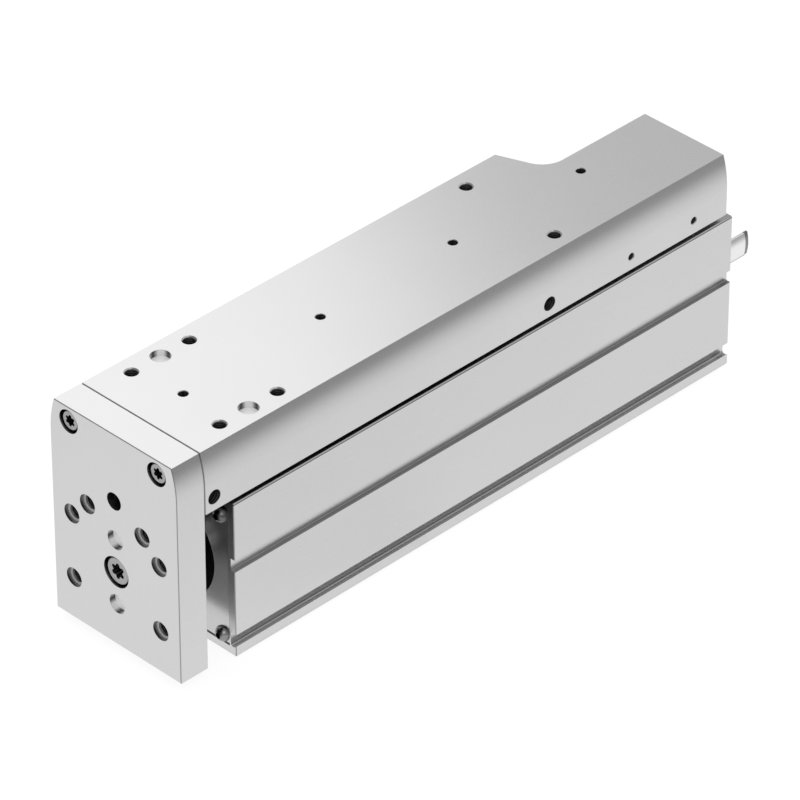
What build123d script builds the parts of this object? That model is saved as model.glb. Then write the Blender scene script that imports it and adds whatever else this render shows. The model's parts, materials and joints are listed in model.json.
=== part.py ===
from build123d import *
from math import cos, pi, radians, sin, sqrt, tan
import os

# Electric mini slide: a ball screw pushes a yoke plate, and the slide on top carries it on a ball rail guide.
# +X is the way out, +Y the side with the sensor holes, +Z up. The origin is the middle of the base face.
# Every length is in millimetres.

# Driving sizes of the body
STROKE = 100.0
HOUSING_EXTRA = 130.0
BODY_WIDTH = 57.6
HOUSING_HEIGHT = 59.7
AXIS_DROP = 28.7
SLIDE_GAP = 2.1
SLIDE_HEIGHT = 22.7
SLIDE_SETBACK = 3.3
PLATE_THICKNESS = 12.0
PLATE_GAP = 12.0
PLATE_LIFT = 2.25
SCREW_LEAD = 12.7

# Clearances
FIT = 0.05
SIDE_PLAY = 0.1
RUN_GAP = 0.6
RAIL_PLAY = 1.0
END_RESERVE = 4.0
HEAD_SINK = 0.7
HOLE_PLAY = 0.2
TRACK_PLAY = 0.08
LIP_PLAY = 0.3

# Screws: head radius, head height, shank radius, key width
M2_5 = (2.25, 2.5, 1.25, 2.0)
M3 = (2.75, 3.0, 1.5, 2.5)
M3_BUTTON = (2.85, 2.4, 1.5, 2.0)
M4 = (3.5, 4.0, 2.0, 3.0)
M6 = (4.9, 6.0, 3.0, 5.0)
END_CHAMFER = 0.3
M4_LOBES = 4.3
M6_LOBES = 5.9
LOBE_SHARE = 0.14
LOBE_ROOT_SHARE = 0.36

# Planes that everything is placed from
HOUSING_LENGTH = STROKE + HOUSING_EXTRA
HALF_WIDTH = BODY_WIDTH / 2
AXIS_HEIGHT = HOUSING_HEIGHT - AXIS_DROP
X_FRONT = HOUSING_LENGTH / 2
X_REAR = -X_FRONT
X_PLATE = X_FRONT + PLATE_GAP
X_FACE = X_PLATE + PLATE_THICKNESS
X_SLIDE_REAR = X_REAR + SLIDE_SETBACK
Z_SLIDE = HOUSING_HEIGHT + SLIDE_GAP
Z_TOP = Z_SLIDE + SLIDE_HEIGHT

# Curved shoulders of slide and yoke plate
SHOULDER_INSET = 2.1
SHOULDER_DEPTH = 12.5
EDGE_BREAK = 0.25
JOINT_BREAK = 0.4

# Ball guide
RAIL_WIDTH = 15.0
RAIL_HEIGHT = 12.5
RAIL_PITCH = 60.0
RAIL_FIRST_SCREW = 30.4
RAIL_FRONT_END = 23.0
RAIL_REAR_INSET = 3.0
RAIL_END_MARGIN = 6.0
RAIL_COUNTERBORE = 5.3
RAIL_SCREW_GRIP = 4.0
RAIL_CHAMFER = 0.5
ROOF = 6.0
GUIDE_BALL = 3.175
TRACK_HEIGHT = 4.0
BALL_PITCH = 3.9
BALLS_PER_ROW = 8
CARRIAGE_HALF_WIDTH = 17.0
CARRIAGE_SINK = 5.2
CARRIAGE_DROP = 4.5
CARRIAGE_BLOCK = 36.0
CARRIAGE_CAP = 6.0
CARRIAGE_FRONT_INSET = 4.0
CARRIAGE_STEP = 60.0
CARRIAGE_COUNT = 2
CARRIAGE_CHAMFER = 0.8
CAP_CHAMFER = 1.2
RETURN_OFFSET = 4.8
CARRIAGE_SCREW_OFFSET = 10.0
CARRIAGE_SCREW_WEB = 1.3
CARRIAGE_SCREW_END = 0.4
LUBE_PORT_RISE = 4.0
LUBE_PORT_RADIUS = 1.25
LUBE_PORT_DEPTH = 3.0

RAIL_FACE = Z_TOP - ROOF
RAIL_FOOT = RAIL_FACE - RAIL_HEIGHT
RAIL_X0 = X_SLIDE_REAR + RAIL_REAR_INSET
RAIL_X1 = X_FACE - RAIL_FRONT_END
RAIL_SCREWS = int((X_FACE - RAIL_FIRST_SCREW - RAIL_X0 - RAIL_END_MARGIN) / RAIL_PITCH) + 1
RAIL_SCREW_X = [X_FACE - RAIL_FIRST_SCREW - RAIL_PITCH * i for i in range(RAIL_SCREWS)]
CARRIAGE_BASE = HOUSING_HEIGHT - CARRIAGE_SINK
CARRIAGE_TOP = RAIL_FACE - CARRIAGE_DROP
CARRIAGE_LENGTH = CARRIAGE_BLOCK + 2 * CARRIAGE_CAP
CARRIAGE_X1 = [X_FRONT - CARRIAGE_FRONT_INSET - CARRIAGE_STEP * i for i in range(CARRIAGE_COUNT)]
CHANNEL_FLOOR = RAIL_FOOT - RAIL_PLAY
BALL_Y = RAIL_WIDTH / 2 + RAIL_PLAY / 2
BALL_Z = RAIL_FOOT + TRACK_HEIGHT
TRACK_RADIUS = GUIDE_BALL / 2 + TRACK_PLAY
CARRIAGE_HEAD_SEAT = CHANNEL_FLOOR - M4[1] - HOLE_PLAY
PORT_Z = CARRIAGE_BASE + LUBE_PORT_RISE

# Slide
CAVITY_HALF_WIDTH = CARRIAGE_HALF_WIDTH + RUN_GAP
CAVITY_TOP = CARRIAGE_TOP + RAIL_PLAY
ROOF_SLOT_HALF_WIDTH = 11.0
END_BLOCK = 10.5
NOTCH_LENGTH = 46.4
NOTCH_SIDE = 8.8
NOTCH_SLANT = 21.0
NOTCH_FILLET = 9.5

# Hole patterns: the first four sizes run back from the face of the yoke plate, the sensor threads
# forward from the slide's rear end
PATTERN_Y = 20.0
TOP_THREADS = [27.0, 52.0, 177.0]
TOP_CENTRING = 39.5
SIDE_THREADS = [16.0, 166.0]
SENSOR_THREADS = [16.0, 46.1]
SIDE_HOLE_DROP = 17.7
M3_CORE = 1.25
M3_THREAD_DEPTH = 10.0
M4_CORE = 1.65
M5_CORE = 2.15
M6_CORE = 2.55
THREAD_DEPTH = 10.0
SIDE_DEPTH = 8.0
SENSOR_DEPTH = 6.0
CENTRING_RADIUS = 3.5
CENTRING_DEPTH = 2.4
PLATE_CENTRING_DEPTH = 1.6
THREAD_CHAMFER = 0.4
CORE_CHAMFER = 0.2
SIDE_CHAMFER = 0.1
SENSOR_CHAMFER = 0.25

# Yoke plate pattern, out from the drive axis
PLATE_PAIR = (12.5, 20.0)
PLATE_SQUARE = (20.0, 12.5)
PLATE_ACCESS_RADIUS = 3.2
PLATE_SCREW_DROP = 5.5
PLATE_SCREW_GRIP = 10.0
PLATE_HEAD_ROOM = 0.75
ROD_SCREW_GRIP = 15.0

# Base pattern, inwards from the housing's ends
BASE_INSETS = (40.0, 90.0)
BASE_CENTRING_INSET = 65.0

# Side grooves, heights over the base
GROOVE_BOTTOM = 33.15
GROOVE_MOUTH = 4.75
GROOVE_DEPTH = 1.75
GROOVE_FILLET = 0.4
CLAMP_GROOVE_BOTTOM = 4.0
CLAMP_GROOVE_MOUTH = 4.5
CLAMP_GROOVE_DEPTH = 2.4
CLAMP_GROOVE_LIP = (0.8, 0.7)
CLAMP_GROOVE_FILLET = 0.9
HOUSING_ROUND = 0.7

# Drive line
BORE_RADIUS = 16.6
ROD_RADIUS = 10.0
ROD_BORE = 7.2
SPINDLE_RADIUS = 6.0
SPINDLE_END_RUN = 6.0
SPINDLE_TIP_CHAMFER = 1.0
JOURNAL_RADIUS = 4.0
JOURNAL_SETBACK = 1.2
JOURNAL_CHAMFER = 0.5
RELIEF = (0.8, 0.4)
NUT_RADIUS = 12.0
NUT_LENGTH = 34.0
NUT_FLANGE = 5.0
NUT_BALL = 2.4
NUT_BALLS = 12
NUT_CHAMBER = (8.0, 27.0)
NUT_BORE_PLAY = 0.3
NUT_BALL_PLAY = 0.1
NUT_SCREW_CIRCLE = 14.0
NUT_SCREW_SINK = 2.6
NUT_SCREW_LENGTH = 9.0
NUT_SCREW_HOLE = 7.5
CARRIER_WALL = 8.0
CARRIER_CHAMFER = 1.0
WEAR_RING = (13.0, 23.0)
WEAR_RING_DEPTH = 1.5
BUFFER_THICKNESS = 6.0
BUFFER_RADII = (11.5, 15.5)
ROD_TIP_CHAMFER = 0.5

# Front end
COVER_SIDE_MARGIN = 2.9
COVER_MARGIN = 3.0
COVER_THICKNESS = 3.0
COVER_SEAM = 0.3
COVER_CORNER = 0.4
COVER_SCREW_INSETS = (3.1, 3.3, 3.8)
COVER_SCREW_LENGTH = 8.0
BEARING_DISC = 19.4
BEARING_DISC_THICKNESS = 5.0
BUSH_RADIUS = 12.0
WIPER_RADIUS = 13.5
WIPER_DEPTH = 4.5
WIPER_WALL = 0.6
WIPER_LIP = 2.0

# Rear end
REAR_FLANGE = (24.5, 5.0)
REAR_FLANGE_SINK = 2.5
REAR_BARREL = 27.0
REAR_BORE = 9.0
REAR_SCREW_CIRCLE = 21.0
REAR_SCREW_SINK = 3.2
REAR_SCREW_LENGTH = 9.5
BEARING_BORE = 4.0
BEARING_OUTER = 11.0
BEARING_WIDTH = 7.0
BEARING_BALL = 3.97
BEARING_BALLS = 7
BEARING_WALLS = (2.2, 1.7)
RETAINER_WIDTH = 5.0
RETAINER_RADIUS = 13.0
RETAINER_RIM = 2.0
RETAINER_SLOT = 1.0
LOCK_NUT_RADIUS = 8.0
LOCK_NUT_WIDTH = 5.0
LOCK_NUT_SLOT = (2.0, 1.2)
CLAW_RADIUS = 15.4
CLAW_WALL = 1.0
CLAW_HALF_HEIGHT = 4.5
CLAW_LENGTH = 21.7
CLAW_LEAD = (1.5, 0.35)

# Rear layout, from the rear face inwards
X_BARREL = X_REAR + REAR_BARREL
X_BEARINGS = X_BARREL - RETAINER_WIDTH
X_BEARING_SHOULDER = X_BEARINGS - 2 * BEARING_WIDTH
X_FLANGE_SEAT = X_REAR + REAR_FLANGE_SINK
X_FLANGE = X_FLANGE_SEAT - REAR_FLANGE[1]
X_CLAW = X_FLANGE - CLAW_LENGTH
X_REAR_BUFFER = X_BARREL + BUFFER_THICKNESS
X_NUT = X_REAR_BUFFER + END_RESERVE
X_NUT_FRONT = X_NUT + NUT_LENGTH
X_CARRIER_FRONT = X_NUT_FRONT + CARRIER_WALL
X_FRONT_BUFFER = X_CARRIER_FRONT + STROKE + END_RESERVE
X_BEARING = X_FRONT_BUFFER + BUFFER_THICKNESS
X_SPINDLE_END = X_NUT_FRONT + STROKE + SPINDLE_END_RUN
CARRIAGE_THREAD_END = AXIS_HEIGHT + BORE_RADIUS + CARRIAGE_SCREW_WEB
BEARING_PITCH = (BEARING_BORE + BEARING_WALLS[0] + BEARING_OUTER - BEARING_WALLS[1]) / 2
COVER_HALF_WIDTH = HALF_WIDTH - COVER_SIDE_MARGIN
COVER_TOP = HOUSING_HEIGHT - COVER_MARGIN
COVER_SCREW_Y = COVER_HALF_WIDTH - COVER_SCREW_INSETS[0]
COVER_SCREW_Z = (COVER_MARGIN + COVER_SCREW_INSETS[1], COVER_TOP - COVER_SCREW_INSETS[2])
COVER_SCREW_PLACES = [(y, z) for y in (-COVER_SCREW_Y, COVER_SCREW_Y) for z in COVER_SCREW_Z]
PLATE_SCREW_PLACES = [(s * PATTERN_Y, Z_TOP - PLATE_SCREW_DROP) for s in (-1, 1)]
PLATE_SEAT = X_FACE - HEAD_SINK - M4[1]
ROD_SCREW_SEAT = X_FACE - HEAD_SINK - M6[1]


def along_x(radius, x0, x1, y=0.0, z=AXIS_HEIGHT):
    """Round bar or hole along X."""
    bar = Cylinder(radius, x1 - x0, align=(Align.CENTER, Align.CENTER, Align.MIN))
    return Pos(x0, y, z) * Rot(0, 90, 0) * bar


def upright(radius, z0, z1, x, y):
    """Round bar or hole along Z."""
    bar = Cylinder(radius, z1 - z0, align=(Align.CENTER, Align.CENTER, Align.MIN))
    return Pos(x, y, z0) * bar


def box(x0, x1, y0, y1, z0, z1):
    """Block between six planes."""
    return Pos((x0 + x1) / 2, (y0 + y1) / 2, (z0 + z1) / 2) * Box(x1 - x0, y1 - y0, z1 - z0)


def drawn(face, x0, x1):
    """Cross-section in Y and Z, drawn out along X."""
    plane = Plane(origin=(x0, 0, 0), x_dir=(0, 1, 0), z_dir=(1, 0, 0))
    return extrude(plane * face, x1 - x0)


def turned(outline):
    """Solid turned about the drive axis from (x, radius) pairs."""
    face = make_face(Polyline([(x, 0, r) for x, r in outline], close=True))
    return Pos(0, 0, AXIS_HEIGHT) * revolve(face, Axis.X)


def ring(outer, inner, x0, x1):
    """Plain ring about the drive axis."""
    return turned([(x0, inner), (x0, outer), (x1, outer), (x1, inner)])


def both_sides(shape):
    """A shape and its mirror image across the middle plane."""
    return [shape, mirror(shape, Plane.XZ)]


def on_circle(radius, count, turn=0.0):
    """Points (y, z) evenly spaced round the drive axis, the first one turned by a share of a step."""
    angles = [2 * pi * (i + turn) / count for i in range(count)]
    return [(radius * cos(a), AXIS_HEIGHT + radius * sin(a)) for a in angles]


def lobed_socket(width):
    """Six-lobe screw recess, width across the lobes."""
    lobe = LOBE_SHARE * width
    lobes = PolarLocations(width / 2 - lobe, 6) * Circle(lobe)
    return Circle(LOBE_ROOT_SHARE * width) + lobes


def hexagon_socket(width):
    """Hexagon recess, width across flats."""
    return RegularPolygon(width / sqrt(3), 6)


def screw(size, length, socket):
    """Cheese-head screw, head up, seat at zero, its socket half as deep as the head."""
    head_radius, head_height, shank_radius = size[:3]
    head = Cylinder(head_radius, head_height, align=(Align.CENTER, Align.CENTER, Align.MIN))
    head = chamfer(head.edges().group_by(Axis.Z)[-1], END_CHAMFER)
    shank = Cylinder(shank_radius, length, align=(Align.CENTER, Align.CENTER, Align.MAX))
    shank = chamfer(shank.edges().group_by(Axis.Z)[0], END_CHAMFER)
    return head + shank - extrude(Pos(0, 0, head_height) * socket, -head_height / 2)


def button_screw(size, length):
    """Button-head screw, its hexagon socket two thirds as deep as the head."""
    head_radius, head_height, shank_radius, key = size
    dome_radius = (head_radius ** 2 + head_height ** 2) / (2 * head_height)
    dome = Pos(0, 0, head_height - dome_radius) * Sphere(dome_radius)
    head = dome & Pos(0, 0, head_height / 2) * Box(2 * head_radius, 2 * head_radius, head_height)
    shank = Cylinder(shank_radius, length, align=(Align.CENTER, Align.CENTER, Align.MAX))
    return head + shank - extrude(Pos(0, 0, head_height) * hexagon_socket(key), -2 * head_height / 3)


def placed(shape, places):
    """Copies of one shape as a group of solids."""
    return Compound(children=[place * shape for place in places])


def shoulder_outline(z_low):
    """Cross-section shared by the slide and the yoke plate."""
    z_round = Z_TOP - SHOULDER_DEPTH
    half_top = HALF_WIDTH - SHOULDER_INSET
    left = TangentArc((-HALF_WIDTH, z_round), (-half_top, Z_TOP), tangent=(0, 1))
    right = TangentArc((HALF_WIDTH, z_round), (half_top, Z_TOP), tangent=(0, 1))
    sides = Polyline(left @ 0, (-HALF_WIDTH, z_low), (HALF_WIDTH, z_low), right @ 0)
    return make_face([left, Line(left @ 1, right @ 1), right, sides])


def centring(x, y, z, depth, direction):
    """Shallow centring recess; direction is "down", "up" or "back"."""
    if direction == "back":
        return along_x(CENTRING_RADIUS, x - depth, x, y, z)
    if direction == "down":
        return upright(CENTRING_RADIUS, z - depth, z, x, y)
    return upright(CENTRING_RADIUS, z, z + depth, x, y)


def thread(core, depth, bevel):
    """Threaded hole down from zero along Z, bevelled at its mouth."""
    below = (Align.CENTER, Align.CENTER, Align.MAX)
    return Cylinder(core, depth, align=below) + Cone(core, core + bevel, bevel, align=below)


def thread_side(core, depth, bevel, x, z):
    """Threaded hole in the +Y side."""
    return Pos(x, HALF_WIDTH, z) * Rot(-90, 0, 0) * thread(core, depth, bevel)


# Housing
def side_groove():
    """Shallow square groove halfway up the side, for sensor holders."""
    y_in = HALF_WIDTH - GROOVE_DEPTH
    top = GROOVE_BOTTOM + GROOVE_MOUTH
    wall = Polyline((HALF_WIDTH, top), (y_in, top), (y_in, GROOVE_BOTTOM + GROOVE_FILLET))
    round_in = TangentArc(wall @ 1, (y_in + GROOVE_FILLET, GROOVE_BOTTOM), tangent=(0, -1))
    floor = Polyline(round_in @ 1, (HALF_WIDTH, GROOVE_BOTTOM), wall @ 0)
    return drawn(make_face([wall, round_in, floor]), X_REAR, X_FRONT)


def clamp_groove():
    """Groove over the foot for clamping brackets, with a low lip at its mouth."""
    y_in = HALF_WIDTH - CLAMP_GROOVE_DEPTH
    top = CLAMP_GROOVE_BOTTOM + CLAMP_GROOVE_MOUTH
    lip_run, lip_rise = CLAMP_GROOVE_LIP
    bottom = CLAMP_GROOVE_BOTTOM - lip_rise
    wall = Polyline((HALF_WIDTH, top), (y_in, top), (y_in, bottom + CLAMP_GROOVE_FILLET))
    round_in = TangentArc(wall @ 1, (y_in + CLAMP_GROOVE_FILLET, bottom), tangent=(0, -1))
    floor = Polyline(round_in @ 1, (HALF_WIDTH - lip_run, bottom), (HALF_WIDTH, CLAMP_GROOVE_BOTTOM), wall @ 0)
    return drawn(make_face([wall, round_in, floor]), X_REAR, X_FRONT)


def housing():
    """Drawn aluminium profile with the drive bore, the carriage channel and both end seats."""
    body = box(X_REAR, X_FRONT, -HALF_WIDTH, HALF_WIDTH, 0, HOUSING_HEIGHT)
    long_edges = body.edges().filter_by(Axis.X)
    body = fillet(long_edges.group_by(Axis.Z)[-1], HOUSING_ROUND)
    body = chamfer(body.edges().filter_by(Axis.X).group_by(Axis.Z)[0], EDGE_BREAK)
    for end in (0, -1):
        body = chamfer(body.faces().sort_by(Axis.X)[end].edges(), EDGE_BREAK)
    channel = CARRIAGE_HALF_WIDTH + SIDE_PLAY
    body -= box(X_REAR, X_FRONT, -channel, channel, CARRIAGE_BASE, HOUSING_HEIGHT)
    body -= along_x(BORE_RADIUS, X_REAR, X_FRONT)
    for groove in (side_groove(), clamp_groove()):
        body -= both_sides(groove)
    x_seat = X_FRONT - COVER_THICKNESS
    body -= box(x_seat, X_FRONT, -COVER_HALF_WIDTH, COVER_HALF_WIDTH, COVER_MARGIN, COVER_TOP)
    body -= along_x(BEARING_DISC + FIT, X_FRONT - BEARING_DISC_THICKNESS, X_FRONT)
    thread_end = X_FRONT - M3_THREAD_DEPTH
    body -= [along_x(M3_BUTTON[2] + FIT, thread_end, X_FRONT, y, z) for y, z in COVER_SCREW_PLACES]
    body -= along_x(REAR_FLANGE[0] + FIT, X_REAR, X_FLANGE_SEAT)
    thread_end = X_FLANGE_SEAT + M3_THREAD_DEPTH
    body -= [along_x(M3[2] + FIT, X_REAR, thread_end, y, z) for y, z in rear_screw_places()]
    body -= [upright(M4[2] + FIT, CARRIAGE_THREAD_END, CARRIAGE_BASE, x, 0) for x in carriage_screw_x()]
    return body - base_holes()


def base_holes():
    """Threads and centring recesses in the base face."""
    threads = [upright(M5_CORE, 0, THREAD_DEPTH, s * (X_FRONT - inset), t * PATTERN_Y)
               for inset in BASE_INSETS for s in (-1, 1) for t in (-1, 1)]
    x_pin = X_FRONT - BASE_CENTRING_INSET
    return threads + [centring(x, 0, 0, CENTRING_DEPTH, "up") for x in (-x_pin, x_pin)]


# Front end
def front_cover():
    """Cover plate let into the front face."""
    back = X_FRONT - COVER_THICKNESS
    half = COVER_HALF_WIDTH - FIT
    plate = box(back, X_FRONT, -half, half, COVER_MARGIN + COVER_SEAM, COVER_TOP - FIT)
    plate = fillet(plate.edges().filter_by(Axis.X), COVER_CORNER)
    plate -= along_x(BEARING_DISC + 2 * FIT, back, X_FRONT)
    return plate - [along_x(M3_BUTTON[2] + HOLE_PLAY, back, X_FRONT, y, z) for y, z in COVER_SCREW_PLACES]


def cover_screws():
    """Four button-head screws."""
    shape = Rot(0, 90, 0) * button_screw(M3_BUTTON, COVER_SCREW_LENGTH)
    return placed(shape, [Pos(X_FRONT, y, z) for y, z in COVER_SCREW_PLACES])


def bearing_carrier():
    """Black carrier of the rod bush, its disc flush with the front face."""
    disc_back = X_FRONT - BEARING_DISC_THICKNESS
    bush_end = X_FRONT - WIPER_DEPTH
    return turned([(X_BEARING, BUSH_RADIUS), (X_BEARING, BORE_RADIUS - FIT), (disc_back, BORE_RADIUS - FIT),
                   (disc_back, BEARING_DISC), (X_FRONT, BEARING_DISC), (X_FRONT, WIPER_RADIUS),
                   (bush_end, WIPER_RADIUS), (bush_end, BUSH_RADIUS)])


def rod_bush():
    """Plain bearing that carries the push rod."""
    x1 = X_FRONT - WIPER_DEPTH
    return ring(BUSH_RADIUS - FIT, ROD_RADIUS + FIT, X_BEARING, x1)


def rod_wiper():
    """Rubber wiper with a thin lip towards the rod."""
    x0 = X_FRONT - WIPER_DEPTH
    x_lip = X_FRONT - WIPER_LIP
    outer = WIPER_RADIUS - FIT
    inner = ROD_RADIUS + LIP_PLAY
    return turned([(x0, inner + WIPER_WALL), (x0, outer), (X_FRONT - LIP_PLAY, outer),
                   (X_FRONT, inner + WIPER_WALL), (X_FRONT, inner), (x_lip, inner + WIPER_WALL)])


def front_buffer():
    """Rubber end stop behind the front bearing."""
    return ring(BUFFER_RADII[1], BUFFER_RADII[0], X_FRONT_BUFFER, X_BEARING)


# Ball guide
def carriage_screw_x():
    """Places of the carriage screws along X."""
    middles = [x1 - CARRIAGE_LENGTH / 2 for x1 in CARRIAGE_X1]
    return [x + s * CARRIAGE_SCREW_OFFSET for x in middles for s in (-1, 1)]


def guide_channel(x0, x1):
    """Space around the rail inside a carriage, with both ball tracks."""
    inner = RAIL_WIDTH / 2 + RAIL_PLAY
    tracks = [along_x(TRACK_RADIUS, x0, x1, s * BALL_Y, BALL_Z) for s in (-1, 1)]
    return [box(x0, x1, -inner, inner, CHANNEL_FLOOR, CARRIAGE_TOP)] + tracks


def return_bore(x0, x1):
    """Bores that lead the balls back past the loaded rows."""
    y = BALL_Y + RETURN_OFFSET
    return [along_x(TRACK_RADIUS, x0, x1, s * y, BALL_Z) for s in (-1, 1)]


def carriage_block(x1):
    """Steel body of one carriage, from its front end cap back."""
    front = x1 - CARRIAGE_CAP
    rear = front - CARRIAGE_BLOCK
    block = box(rear, front, -CARRIAGE_HALF_WIDTH, CARRIAGE_HALF_WIDTH, CARRIAGE_BASE, CARRIAGE_TOP)
    block = chamfer(block.edges().filter_by(Axis.X), CARRIAGE_CHAMFER)
    block -= guide_channel(rear, front) + return_bore(rear, front)
    middle = (front + rear) / 2
    for x in (middle - CARRIAGE_SCREW_OFFSET, middle + CARRIAGE_SCREW_OFFSET):
        block -= upright(M4[2] + HOLE_PLAY, CARRIAGE_BASE, CHANNEL_FLOOR, x, 0)
        block -= upright(M4[0] + HOLE_PLAY, CARRIAGE_HEAD_SEAT, CHANNEL_FLOOR, x, 0)
    return block


def carriage_cap(x1, outward):
    """Plastic end cap with the half-round turns that hand the balls to the return bores."""
    x_out = x1 if outward > 0 else x1 - CARRIAGE_LENGTH
    x_in = x_out - outward * CARRIAGE_CAP
    low, high = min(x_out, x_in), max(x_out, x_in)
    half = CARRIAGE_HALF_WIDTH - SIDE_PLAY
    cap = box(low, high, -half, half, CARRIAGE_BASE + SIDE_PLAY, CARRIAGE_TOP - SIDE_PLAY)
    cap = chamfer(cap.edges().filter_by(Axis.X), CAP_CHAMFER)
    cap -= guide_channel(low, high)[0]
    turn = Torus(RETURN_OFFSET / 2, TRACK_RADIUS)
    cap -= [Pos(x_in, s * (BALL_Y + RETURN_OFFSET / 2), BALL_Z) * turn for s in (-1, 1)]
    if outward > 0:
        cap -= along_x(LUBE_PORT_RADIUS, high - LUBE_PORT_DEPTH, high, 0, PORT_Z)
    return cap


def carriage_balls(x1):
    """Loaded balls of one carriage, a row on each side of the rail."""
    middle = x1 - CARRIAGE_LENGTH / 2
    first = middle - BALL_PITCH * (BALLS_PER_ROW - 1) / 2
    places = [Pos(first + BALL_PITCH * i, s * BALL_Y, BALL_Z) for i in range(BALLS_PER_ROW) for s in (-1, 1)]
    return placed(Sphere(GUIDE_BALL / 2), places)


def carriage_screws():
    """Screws that hold both carriages on the housing."""
    shape = screw(M4, CARRIAGE_HEAD_SEAT - CARRIAGE_THREAD_END - CARRIAGE_SCREW_END, hexagon_socket(M4[3]))
    return placed(shape, [Pos(x, 0, CARRIAGE_HEAD_SEAT) for x in carriage_screw_x()])


def rail():
    """Ground rail under the slide's roof, with a ball track on each side."""
    half = RAIL_WIDTH / 2
    body = box(RAIL_X0, RAIL_X1, -half, half, RAIL_FOOT, RAIL_FACE)
    body = chamfer(body.edges().filter_by(Axis.X), RAIL_CHAMFER)
    body -= [along_x(TRACK_RADIUS, RAIL_X0, RAIL_X1, s * BALL_Y, BALL_Z) for s in (-1, 1)]
    for x in RAIL_SCREW_X:
        body -= upright(M4[2] + HOLE_PLAY, RAIL_FOOT, RAIL_FACE, x, 0)
        body -= upright(M4[0] + HOLE_PLAY, RAIL_FOOT, RAIL_FOOT + RAIL_COUNTERBORE, x, 0)
    return body


def rail_screws():
    """Screws up through the rail into the slide's roof."""
    length = RAIL_HEIGHT - RAIL_COUNTERBORE + RAIL_SCREW_GRIP
    shape = Rot(180, 0, 0) * screw(M4, length, hexagon_socket(M4[3]))
    return placed(shape, [Pos(x, 0, RAIL_FOOT + RAIL_COUNTERBORE) for x in RAIL_SCREW_X])


# Slide and yoke plate
def slide():
    """Table of the mini slide: curved shoulders, rail cavity below, notch at the rear left."""
    body = drawn(shoulder_outline(Z_SLIDE), X_SLIDE_REAR, X_PLATE)
    body = chamfer(body.faces().sort_by(Axis.X)[-1].edges(), EDGE_BREAK)
    cavity_front = X_PLATE - END_BLOCK
    body -= box(X_SLIDE_REAR, cavity_front, -CAVITY_HALF_WIDTH, CAVITY_HALF_WIDTH, Z_SLIDE, CAVITY_TOP)
    slot = ROOF_SLOT_HALF_WIDTH
    body -= box(X_SLIDE_REAR, cavity_front, -slot, slot, CAVITY_TOP, RAIL_FACE)
    body -= rear_notch()
    for x in [X_FACE - back for back in TOP_THREADS]:
        body -= [Pos(x, s * PATTERN_Y, Z_TOP) * thread(M5_CORE, THREAD_DEPTH, THREAD_CHAMFER) for s in (-1, 1)]
    body -= [centring(X_FACE - TOP_CENTRING, s * PATTERN_Y, Z_TOP, CENTRING_DEPTH, "down") for s in (-1, 1)]
    for x in RAIL_SCREW_X:
        body -= upright(M4[2] + FIT, RAIL_FACE, RAIL_FACE + RAIL_SCREW_GRIP + HOLE_PLAY, x, 0)
        body -= Pos(x, 0, Z_TOP) * thread(M4_CORE, ROOF, CORE_CHAMFER)
    z_side = Z_TOP - SIDE_HOLE_DROP
    for back in SIDE_THREADS:
        body -= thread_side(M6_CORE, SIDE_DEPTH, SIDE_CHAMFER, X_FACE - back, z_side)
    for ahead in SENSOR_THREADS:
        body -= thread_side(M3_CORE, SENSOR_DEPTH, SENSOR_CHAMFER, X_SLIDE_REAR + ahead, z_side)
    thread_end = X_PLATE - PLATE_SCREW_GRIP - HOLE_PLAY
    return body - [along_x(M4[2] + FIT, thread_end, X_PLATE, y, z) for y, z in PLATE_SCREW_PLACES]


def rear_notch():
    """Cut-out at the rear left of the slide: its front wall slants and meets the inner side in a fillet."""
    x_wall = X_SLIDE_REAR + NOTCH_LENGTH
    x_mouth = x_wall + (HALF_WIDTH - NOTCH_SIDE) * tan(radians(NOTCH_SLANT))
    outline = Polyline((X_SLIDE_REAR, -HALF_WIDTH), (X_SLIDE_REAR, -NOTCH_SIDE), (x_wall, -NOTCH_SIDE),
                       (x_mouth, -HALF_WIDTH), close=True)
    face = make_face(outline)
    inner_corner = face.vertices().sort_by_distance((x_wall, -NOTCH_SIDE, 0))[0]
    return extrude(Pos(0, 0, Z_SLIDE) * fillet(inner_corner, NOTCH_FILLET), SLIDE_HEIGHT)


def yoke_plate():
    """End plate that joins the slide to the push rod and takes the load."""
    plate = drawn(shoulder_outline(PLATE_LIFT), X_PLATE, X_FACE)
    plate = chamfer(plate.faces().sort_by(Axis.X)[-1].edges(), EDGE_BREAK)
    plate = chamfer(plate.faces().sort_by(Axis.X)[0].edges(), JOINT_BREAK)
    threads = [(s * PLATE_PAIR[0], PLATE_PAIR[1]) for s in (-1, 1)]
    threads += [(s * PLATE_SQUARE[0], t * PLATE_SQUARE[1]) for s in (-1, 1) for t in (-1, 1)]
    x_floor = X_FACE - PLATE_CENTRING_DEPTH
    hole = Rot(0, 90, 0) * thread(M5_CORE, x_floor - X_PLATE, THREAD_CHAMFER)
    for y, up in threads:
        plate -= Pos(x_floor, y, AXIS_HEIGHT + up) * hole
        plate -= centring(X_FACE, y, AXIS_HEIGHT + up, PLATE_CENTRING_DEPTH, "back")
    for t in (-1, 1):
        plate -= centring(X_FACE, 0, AXIS_HEIGHT + t * PLATE_SQUARE[1], CENTRING_DEPTH, "back")
    plate -= along_x(PLATE_ACCESS_RADIUS, X_PLATE, X_FACE, 0, PORT_Z)
    for y, z in PLATE_SCREW_PLACES:
        plate -= along_x(M4[2] + HOLE_PLAY, X_PLATE, X_FACE, y, z)
        plate -= along_x(M4[0] + PLATE_HEAD_ROOM, PLATE_SEAT, X_FACE, y, z)
    plate -= along_x(M6[2] + HOLE_PLAY, X_PLATE, X_FACE)
    return plate - along_x(M6[0] + PLATE_HEAD_ROOM, ROD_SCREW_SEAT, X_FACE)


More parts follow.
